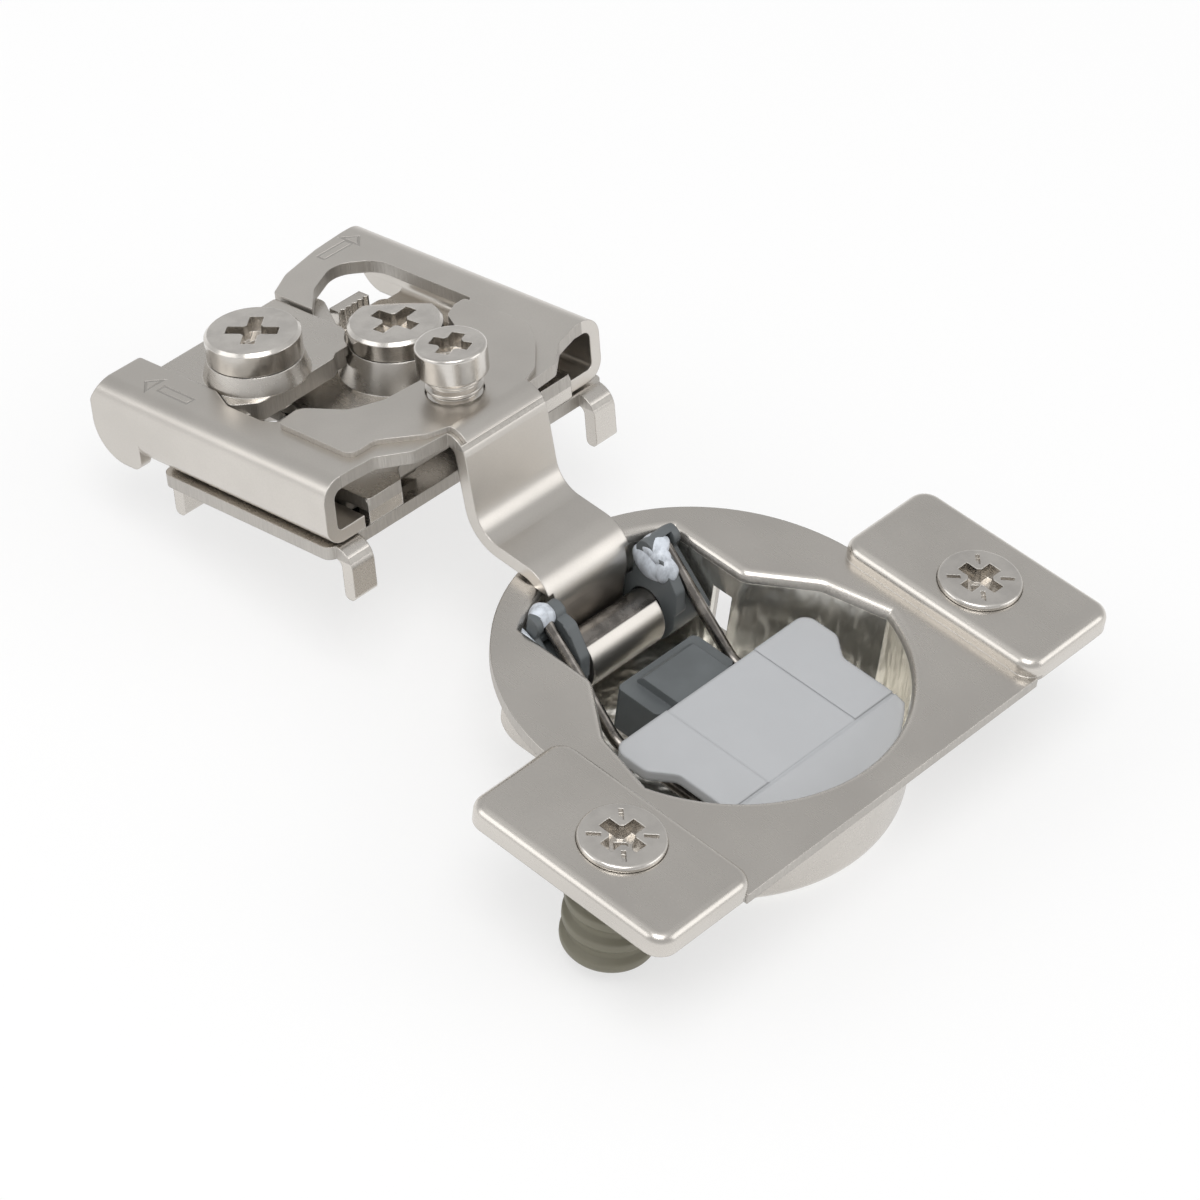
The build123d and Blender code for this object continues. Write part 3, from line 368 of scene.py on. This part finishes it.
def inside_bowl(across, along, height, radius):
    """1 inside the cup's bowl, else 0: within a radius of its axis, below its top and within its outline.

    Half the outline's width is the larger of the slot's and the shoulder's less the lean past the shoulder,
    and it grows steadily on the shoulder's other side.
    """
    beyond = along - SHOULDER_Y * MM
    half_width = (SHOULDER_X * MM - SLOT_LEAN * beyond.largest(0.0)).largest(SLOT_X * MM)
    half_width = half_width - FLARE_LEAN * beyond.smallest(0.0)
    half_width = half_width + ROUND_ROOM * MM * along.below(ROUND_Y * MM)
    near_axis = (across * across + along * along).below((radius * MM) ** 2) * height.below(BOWL_TOP * MM)
    return near_axis * (abs(across) - half_width).below(0.0)


def plated_steel(name, colour, tilted, low, high, reach, edge_radius, rough=0.27, arrows=(), bowl=0.0):
    """Satin nickel on pressed sheet: soft blotches, fine grain and, on cut edges, striations.

    A cut edge is a face that stands across the sheet, between the heights low and high and within reach
    of x = 0. A tilted sheet is measured in the block's own frame. Inside a bowl of this radius about Z the
    plating is rumpled and painted brighter, a painted reflection. Arrows are engraved lines on the block's
    top face, painted darker as painted shade in their grooves.
    """
    finish = Finish(name, {"Metallic": 1.0})
    place, facing = finish.place, finish.facing
    if tilted:
        origin = Vector(BLOCK_ORIGIN) * MM
        offset = Matrix.Rotation(BLOCK_TILT, 3, "X") @ origin
        place = finish.turned(place, BLOCK_TILT, tuple(-offset))
        facing = finish.turned(facing, BLOCK_TILT, (0, 0, 0))
    across, along, height = finish.split(place)
    facing_up = finish.split(facing)[2]

    cloud = finish.noise(finish.place, CLOUD_SCALE, 3.0)
    blotch = finish.noise(finish.place, BLOTCH_SCALE, 3.0)
    grain = finish.noise(finish.place, STEEL_GRAIN_SCALE, 2.0, 0.6)
    drawn = finish.noise(finish.stretched(finish.place, (1.0, 0.14, 1.0)), DRAWN_SCALE, 3.0, 0.6)
    striation = finish.noise(finish.stretched(place, (1, 1, 0.06)), STRIATION_SCALE, 3.0, 0.7)
    ragged = finish.noise(finish.stretched(place, (1, 1, 0.5)), RAGGED_SCALE, 2.0)

    edge = abs(facing_up).below(EDGE_RISE) * height.above(low * MM) * height.below(high * MM)
    edge = edge * abs(across).below(reach * MM)
    tone = finish.mixed(cloud.ramp(0.3, 0.7), shade(colour, 0.94), shade(colour, 1.04))
    tone = finish.mixed(0.2 * grain.ramp(0.35, 0.75), tone, shade(colour, 0.82))
    tone = finish.mixed(edge * (0.15 + 0.6 * striation), tone, shade(colour, 0.5))
    polish = rough - 0.06 + 0.07 * blotch + 0.05 * drawn + 0.16 * edge
    skin = finish.bump(0.6 * grain + 0.4 * drawn, STEEL_GRAIN_DEPTH, finish.rounded(edge_radius))
    skin = finish.bump(edge * (0.7 * striation + 0.3 * ragged), CUT_EDGE_DEPTH, skin)
    if bowl:
        inside = inside_bowl(across, along, height, bowl)
        rumple = finish.noise(finish.stretched(place, (1, 1, 0.4)), RUMPLE_SCALE, 2.0)
        # Painted highlight: the bowl's inside is painted brighter, a painted reflection that stands in for
        # light on its wall
        tone = finish.mixed(inside, tone, shade(colour, 1.55))
        polish = polish + 0.08 * inside
        skin = finish.bump(inside * rumple, RUMPLE_DEPTH, skin)
    for lengthwise, *arrow in arrows:
        ahead, aside = (along, across) if lengthwise else (across, along)
        line = arrow_line(ahead, aside, *arrow) * height.above(ARROW_FLOOR * MM)
        # Painted shade: the engraved lines are painted darker, standing in for the shade in their grooves
        tone = finish.mixed(0.5 * line, tone, shade(colour, 0.5))
        skin = finish.bump(1 - line, ARROW_DEPTH, skin)
    return finish.done(tone, polish, skin)


def plated_screw(name, colour):
    """Bright nickel on turned and headed screws: small dents and faint blotches."""
    finish = Finish(name, {"Metallic": 1.0})
    blotch = finish.noise(finish.place, BLOTCH_SCALE, 3.0)
    grain = finish.noise(finish.place, SCREW_GRAIN_SCALE, 3.0)
    dents = finish.noise(finish.place, DENT_SCALE, 1.0)
    tone = finish.mixed(blotch.ramp(0.3, 0.7), shade(colour, 0.9), shade(colour, 1.06))
    skin = finish.bump(0.5 * grain + 0.5 * dents, DENT_DEPTH, finish.rounded(SCREW_ROUNDING))
    return finish.done(tone, 0.17 + 0.1 * grain, skin)


def drawn_wire(name, colour):
    """Bare drawn wire: lengthwise die marks along Y and darker patches of oil."""
    finish = Finish(name, {"Metallic": 1.0})
    oil = finish.noise(finish.place, OIL_SCALE, 3.0)
    marks = finish.noise(finish.stretched(finish.place, (1.0, 0.05, 0.4)), DIE_MARK_SCALE, 2.0)
    tone = finish.mixed(oil.ramp(0.35, 0.65), shade(colour, 0.6), shade(colour, 1.15))
    skin = finish.bump(marks, DIE_MARK_DEPTH, finish.rounded(WIRE_ROUNDING))
    return finish.done(tone, 0.2 + 0.15 * oil, skin)


def moulded(name, colour, rough, edge_radius, mottling):
    """Moulded plastic: an even colour with a trace of mottling and the fine spark grain of the mould."""
    finish = Finish(name, {"Metallic": 0.0, "Specular IOR Level": 0.45})
    cloud = finish.noise(finish.place, MOULD_CLOUD_SCALE, 3.0)
    grain = finish.noise(finish.place, MOULD_GRAIN_SCALE, 2.0)
    tone = finish.mixed(cloud.ramp(0.3, 0.7), shade(colour, 1 - mottling), shade(colour, 1 + mottling))
    skin = finish.bump(grain, MOULD_GRAIN_DEPTH, finish.rounded(edge_radius))
    return finish.done(tone, rough - 0.06 + 0.12 * grain, skin)


def grease_finish(name, colour):
    """White grease: milky, wet on top, with small darker streaks."""
    finish = Finish(name, {"Metallic": 0.0, "Coat Weight": 0.4, "Coat Roughness": 0.12})
    streak = finish.noise(finish.stretched(finish.place, (1, 1, 0.5)), GREASE_SCALE, 4.0, 0.65)
    tone = finish.mixed(streak.ramp(0.3, 0.6), shade(colour, 0.62), colour)
    skin = finish.bump(streak, GREASE_DEPTH, finish.rounded(GREASE_ROUNDING))
    return finish.done(tone, 0.32 + 0.2 * streak, skin)


# Settings

class HingeSettings(bpy.types.PropertyGroup):
    """Sizes and colours of the finished hinge."""

    edge_rounding: FloatProperty(
        name="Edge rounding", description="Rounding of the pressed sheets' edges, in millimetres",
        default=0.16, min=0.01, max=0.4)
    moulded_rounding: FloatProperty(
        name="Moulded rounding", description="Rounding of the plastic parts' edges, in millimetres",
        default=0.3, min=0.01, max=0.5)
    steel_colour: FloatVectorProperty(
        name="Plated steel", description="Colour of the satin nickel plate",
        default=(0.66, 0.628, 0.585), size=3, subtype="COLOR")
    screw_colour: FloatVectorProperty(
        name="Screws", description="Colour of the brighter nickel on the screws",
        default=(0.70, 0.67, 0.63), size=3, subtype="COLOR")
    wire_colour: FloatVectorProperty(
        name="Wire", description="Colour of the spring wire and the pin",
        default=(0.27, 0.25, 0.23), size=3, subtype="COLOR")
    light_colour: FloatVectorProperty(
        name="Light plastic", description="Colour of the damper cover",
        default=(0.50, 0.51, 0.525), size=3, subtype="COLOR")
    dark_colour: FloatVectorProperty(
        name="Dark plastic", description="Colour of the levers and the damper",
        default=(0.125, 0.137, 0.142), size=3, subtype="COLOR")
    olive_colour: FloatVectorProperty(
        name="Olive plastic", description="Colour of the dowels",
        default=(0.20, 0.188, 0.14), size=3, subtype="COLOR")
    grease_colour: FloatVectorProperty(
        name="Grease", description="Colour of the white grease",
        default=(0.74, 0.79, 0.86), size=3, subtype="COLOR")


class StageSettings(bpy.types.PropertyGroup):
    """Camera, lamps and floor."""

    azimuth: FloatProperty(
        name="Azimuth", description="Camera's angle round the hinge, in degrees", default=-52.67)
    elevation: FloatProperty(
        name="Elevation", description="Camera's angle above the floor, in degrees", default=42.4)
    roll: FloatProperty(
        name="Roll", description="Camera's turn about its own axis, in degrees", default=7.63)
    distance: FloatProperty(
        name="Distance", description="Camera's distance from the hinge", default=0.374, unit="LENGTH")
    focal_pixels: FloatProperty(
        name="Focal length", description="Focal length in pixels of a 1200 pixel wide image",
        default=4529.0)
    floor_colour: FloatVectorProperty(
        name="Floor", description="Colour of the floor",
        default=(0.93, 0.93, 0.93), size=3, subtype="COLOR")
    floor_glow: FloatProperty(
        name="Floor glow", description="Share of the floor that shows as plain white",
        default=0.6, min=0.0, max=1.0)
    lamp_strength: FloatProperty(
        name="Lamps", description="Factor on every lamp", default=1.0, min=0.0)


def settings():
    """The sizes and colours that are set now."""
    return bpy.context.scene.hinge_settings


def stage_settings():
    """The camera, lamps and floor that are set now."""
    return bpy.context.scene.hinge_stage


# Pieces

class HINGE_OT_pressed_parts(bpy.types.Operator):
    """Gives the pressed steel parts their rounded edges and satin nickel"""

    bl_idname = "hinge.pressed_parts"
    bl_label = "Pressed parts"

    def execute(self, context):
        own = settings()
        # Along Y or not, the shaft's middle ahead and aside, tip, shaft's length, half width and line
        arrows = (
            (False, (11.5, 26.0), 14.5, 3.5, 1.0, 0.16),
            (True, (19.4, -14.2), 23.1, 3.6, 0.95, 0.16),
        )
        arm_extra = {"rough": 0.31, "arrows": arrows}
        # Name, nodes, in the tilted block or not, the cut edges' lowest and highest place and reach
        for name, nodes, tilted, low, high, reach, extra in (
            ("cup steel", ("cup",), False, 0.02, 0.98, 19.0, {"bowl": 16.8}),
            ("arm steel", ("arm", "inner_plate"), True, -1.18, 0.5, 15.0, arm_extra),
            ("tongue steel", ("tongue_plate",), True, -2.1, -0.35, 15.0, {}),
            ("mid plate steel", ("mid_plate",), True, -4.8, -3.6, 13.0, {}),
            ("slide plate steel", ("slide_plate",), True, -6.0, -4.9, 13.0, {}),
            ("base plate steel", ("base_plate",), True, -7.6, -6.4, 18.0, {}),
        ):
            edges = (tilted, low, high, reach, own.edge_rounding)
            finished(nodes, plated_steel(name, own.steel_colour, *edges, **extra))
        return {"FINISHED"}


class HINGE_OT_screws(bpy.types.Operator):
    """Gives the screws their rounded edges and bright nickel"""

    bl_idname = "hinge.screws"
    bl_label = "Screws"

    def execute(self, context):
        screws = ("wing_screw_left", "wing_screw_right", "side_screw", "depth_cam", "height_cam")
        finished(screws, plated_screw("screw nickel", settings().screw_colour))
        return {"FINISHED"}


class HINGE_OT_moulded_parts(bpy.types.Operator):
    """Gives the plastic parts their rounded edges and moulded finish"""

    bl_idname = "hinge.moulded_parts"
    bl_label = "Moulded parts"

    def execute(self, context):
        own = settings()
        edge = own.moulded_rounding
        damper = ("damper_housing", "damper_cylinder", "damper_slider")
        levers = ("cam_lever_left", "cam_lever_right")
        dowels = ("dowel_left", "dowel_right")
        # Nodes, name, colour, roughness, rounding and mottling
        for nodes, *look in (
            (("damper_cover",), "light grey moulding", own.light_colour, 0.5, 1.5 * edge, 0.012),
            (damper + levers, "dark grey moulding", own.dark_colour, 0.42, 0.7 * edge, 0.1),
            (dowels, "olive grey moulding", own.olive_colour, 0.5, edge, 0.05),
        ):
            finished(nodes, moulded(*look))
        return {"FINISHED"}


class HINGE_OT_wire_and_pin(bpy.types.Operator):
    """Gives the spring wire, the pin and the rod their drawn steel"""

    bl_idname = "hinge.wire_and_pin"
    bl_label = "Wire and pin"

    def execute(self, context):
        drawn = ("spring_wire", "hinge_pin", "damper_rod")
        finished(drawn, drawn_wire("drawn wire", settings().wire_colour))
        return {"FINISHED"}


class HINGE_OT_grease(bpy.types.Operator):
    """Adds the white grease on the levers and the slot's wall"""

    bl_idname = "hinge.grease"
    bl_label = "Grease"

    def execute(self, context):
        material = grease_finish("white grease", (*settings().grease_colour, 1.0))
        # Each lump's centre and half sizes, its turn about X, its seed and its roughness
        right = joined(
            lump((5.9, 12.6, -0.5), (0.86, 2.0, 1.45), 0.35, 1.0, 0.04),
            lump((6.5, 12.8, 1.0), (1.3, 1.2, 0.85), 0.1, 2.4, 0.05),
            lump((6.0, 11.1, -0.3), (0.88, 1.3, 1.3), 0.5, 3.3, 0.04),
            lump((6.1, 11.9, 0.75), (0.85, 1.1, 0.75), 0.2, 0.4, 0.04),
        )
        left = lump((-7.3, 13.2, 1.05), (1.2, 1.15, 1.15), 0.0, 4.1, 0.05)
        smear = lump((-9.3, 12.7, 0.1), (0.28, 2.3, 0.32), 0.24, 0.6, 0.16)
        for name, shape, body in (
            ("grease_right", right, "spring_body"),
            ("grease_left", left, "spring_body"),
            ("grease_smear", smear, "cup_body"),
        ):
            new_piece(name, *shape, body, "light_grey_plastic", material)
        return {"FINISHED"}


# Stage

# Half the floor's side in metres, its gap below the cup in millimetres and the strength of its white
FLOOR_HALF = 3.0
FLOOR_GAP = 0.05
WHITE_STRENGTH = 1.04

# The room's brightness by height, from straight down to straight up
ROOM = ((0.0, 0.80), (0.2, 0.66), (0.42, 0.58), (0.67, 0.52), (0.85, 0.62), (1.0, 0.8))

# Square soft boxes: azimuth and elevation seen from the hinge, distance and side in metres, and radiance
LAMPS = (
    ("key box", -62, 70, 0.9, 0.5, 3.4),
    ("left box", -128, 32, 1.0, 0.6, 1.2),
    ("right box", 38, 30, 1.0, 0.6, 1.1),
)

# The photograph's side and the hinge's origin in it, in pixels
IMAGE_SIDE = 1200.0
ORIGIN_PIXEL = (716.6, 667.8)

# The camera's sensor in millimetres and its nearest visible distance in metres
SENSOR_WIDTH = 36.0
CLIP_START = 0.01


def towards(azimuth, elevation):
    """Direction from the hinge to a place at this azimuth from -Y and this elevation, both in degrees."""
    turn, rise = math.radians(azimuth), math.radians(elevation)
    return Vector((math.sin(turn) * math.cos(rise), -math.cos(turn) * math.cos(rise), math.sin(rise)))


class HINGE_OT_stage(bpy.types.Operator):
    """Adds the floor, the lamps, the world and the camera"""

    bl_idname = "hinge.stage"
    bl_label = "Stage"

    def execute(self, context):
        own = stage_settings()
        context.scene.view_settings.view_transform = "Standard"
        self.add_floor(own)
        self.add_world(context)
        self.add_lamps(own)
        self.add_camera(context, own)
        return {"FINISHED"}

    def add_floor(self, own):
        """A wide flat floor just under the cup, which the camera and reflections see nearly white."""
        height = cad_box[0][2] - FLOOR_GAP * MM
        signs = ((-1, -1), (1, -1), (1, 1), (-1, 1))
        corners = [(FLOOR_HALF * x, FLOOR_HALF * y, height) for x, y in signs]
        mesh = bpy.data.meshes.new("floor")
        mesh.from_pydata(corners, [], [(0, 1, 2, 3)])
        floor = bpy.data.objects.new("floor", mesh)
        bpy.context.scene.collection.objects.link(floor)
        finish = Finish("floor paper", {"Roughness": 0.9, "Specular IOR Level": 0.0})
        fibre = finish.noise(finish.place, PAPER_SCALE, 2.0)
        paper = finish.done(finish.mixed(fibre, shade(own.floor_colour, 0.995), (*own.floor_colour, 1)))
        glow = {"Color": (1, 1, 1, 1), "Strength": WHITE_STRENGTH}
        white = finish.node("ShaderNodeEmission", {}, glow)
        rays = finish.node("ShaderNodeLightPath", {}, {}).outputs
        seen = Value(finish, rays["Is Camera Ray"]).largest(Value(finish, rays["Is Glossy Ray"]))
        blend = finish.node("ShaderNodeMixShader", {}, {
            0: own.floor_glow * seen, 1: finish.shader.outputs[0], 2: white.outputs[0],
        })
        finish.feed(finish.nodes["Material Output"].inputs["Surface"], blend.outputs[0])
        mesh.materials.append(paper)

    def add_world(self, context):
        """A soft studio room: bright overhead and from below, greyer towards the walls."""
        world = bpy.data.worlds.new("studio room")
        world.use_nodes = True
        nodes, links = world.node_tree.nodes, world.node_tree.links
        direction = nodes.new("ShaderNodeTexCoord").outputs["Generated"]
        parts = nodes.new("ShaderNodeSeparateXYZ")
        links.new(direction, parts.inputs[0])
        ramp = nodes.new("ShaderNodeValToRGB")
        ramp.color_ramp.interpolation = "EASE"
        while len(ramp.color_ramp.elements) < len(ROOM):
            ramp.color_ramp.elements.new(0.5)
        for element, (position, level) in zip(ramp.color_ramp.elements, ROOM):
            element.position = position
            element.color = (level, level, level, 1)
        links.new(parts.outputs[2], ramp.inputs[0])
        links.new(ramp.outputs[0], nodes["Background"].inputs["Color"])
        context.scene.world = world

    def add_lamps(self, own):
        """Soft boxes that face the hinge. A lamp's power is its radiance times pi times its area."""
        for name, azimuth, elevation, distance, side, radiance in LAMPS:
            back = towards(azimuth, elevation)
            lamp = bpy.data.lights.new(name, "AREA")
            lamp.shape = "SQUARE"
            lamp.size = side
            lamp.energy = own.lamp_strength * radiance * math.pi * side * side
            holder = bpy.data.objects.new(name, lamp)
            holder.location = back * distance
            holder.rotation_euler = (-back).to_track_quat("-Z", "Y").to_euler()
            bpy.context.scene.collection.objects.link(holder)

    def add_camera(self, context, own):
        """The photograph's view: the hinge's origin falls on its pixel."""
        back = towards(own.azimuth, own.elevation)
        roll = math.radians(own.roll)
        level = Vector((0, 0, 1)).cross(back).normalized()
        upright = back.cross(level)
        right = math.cos(roll) * level + math.sin(roll) * upright
        up = -math.sin(roll) * level + math.cos(roll) * upright
        pixel = own.distance / own.focal_pixels
        shift_x = (ORIGIN_PIXEL[0] - IMAGE_SIDE / 2) * pixel
        shift_y = -(ORIGIN_PIXEL[1] - IMAGE_SIDE / 2) * pixel
        place = own.distance * back - shift_x * right - shift_y * up
        data = bpy.data.cameras.new("camera")
        data.sensor_width = SENSOR_WIDTH
        data.lens = own.focal_pixels / IMAGE_SIDE * data.sensor_width
        data.clip_start = CLIP_START
        camera = bpy.data.objects.new("camera", data)
        turned = Matrix((right, up, back)).transposed().to_4x4()
        camera.matrix_world = Matrix.Translation(place) @ turned
        context.scene.collection.objects.link(camera)
        context.scene.camera = camera


STEPS = (
    HINGE_OT_pressed_parts,
    HINGE_OT_screws,
    HINGE_OT_moulded_parts,
    HINGE_OT_wire_and_pin,
    HINGE_OT_grease,
    HINGE_OT_stage,
)


class HINGE_PT_panel(bpy.types.Panel):
    """Lists the steps and the settings of the hinge"""

    bl_label = "Concealed cup hinge"
    bl_idname = "HINGE_PT_panel"
    bl_space_type = "VIEW_3D"
    bl_region_type = "UI"
    bl_category = "Hinge"

    def draw(self, context):
        for group in (settings(), stage_settings()):
            for name in group.__annotations__:
                self.layout.prop(group, name)
        for step in STEPS:
            self.layout.operator(step.bl_idname)


CLASSES = (HingeSettings, StageSettings, *STEPS, HINGE_PT_panel)


def register():
    for item in CLASSES:
        bpy.utils.register_class(item)
    bpy.types.Scene.hinge_settings = PointerProperty(type=HingeSettings)
    bpy.types.Scene.hinge_stage = PointerProperty(type=StageSettings)


def unregister():
    del bpy.types.Scene.hinge_stage
    del bpy.types.Scene.hinge_settings
    for item in reversed(CLASSES):
        bpy.utils.unregister_class(item)


def main():
    register()
    for step in STEPS:
        area, action = step.bl_idname.split(".")
        getattr(getattr(bpy.ops, area), action)()


if __name__ == "__main__":
    main()
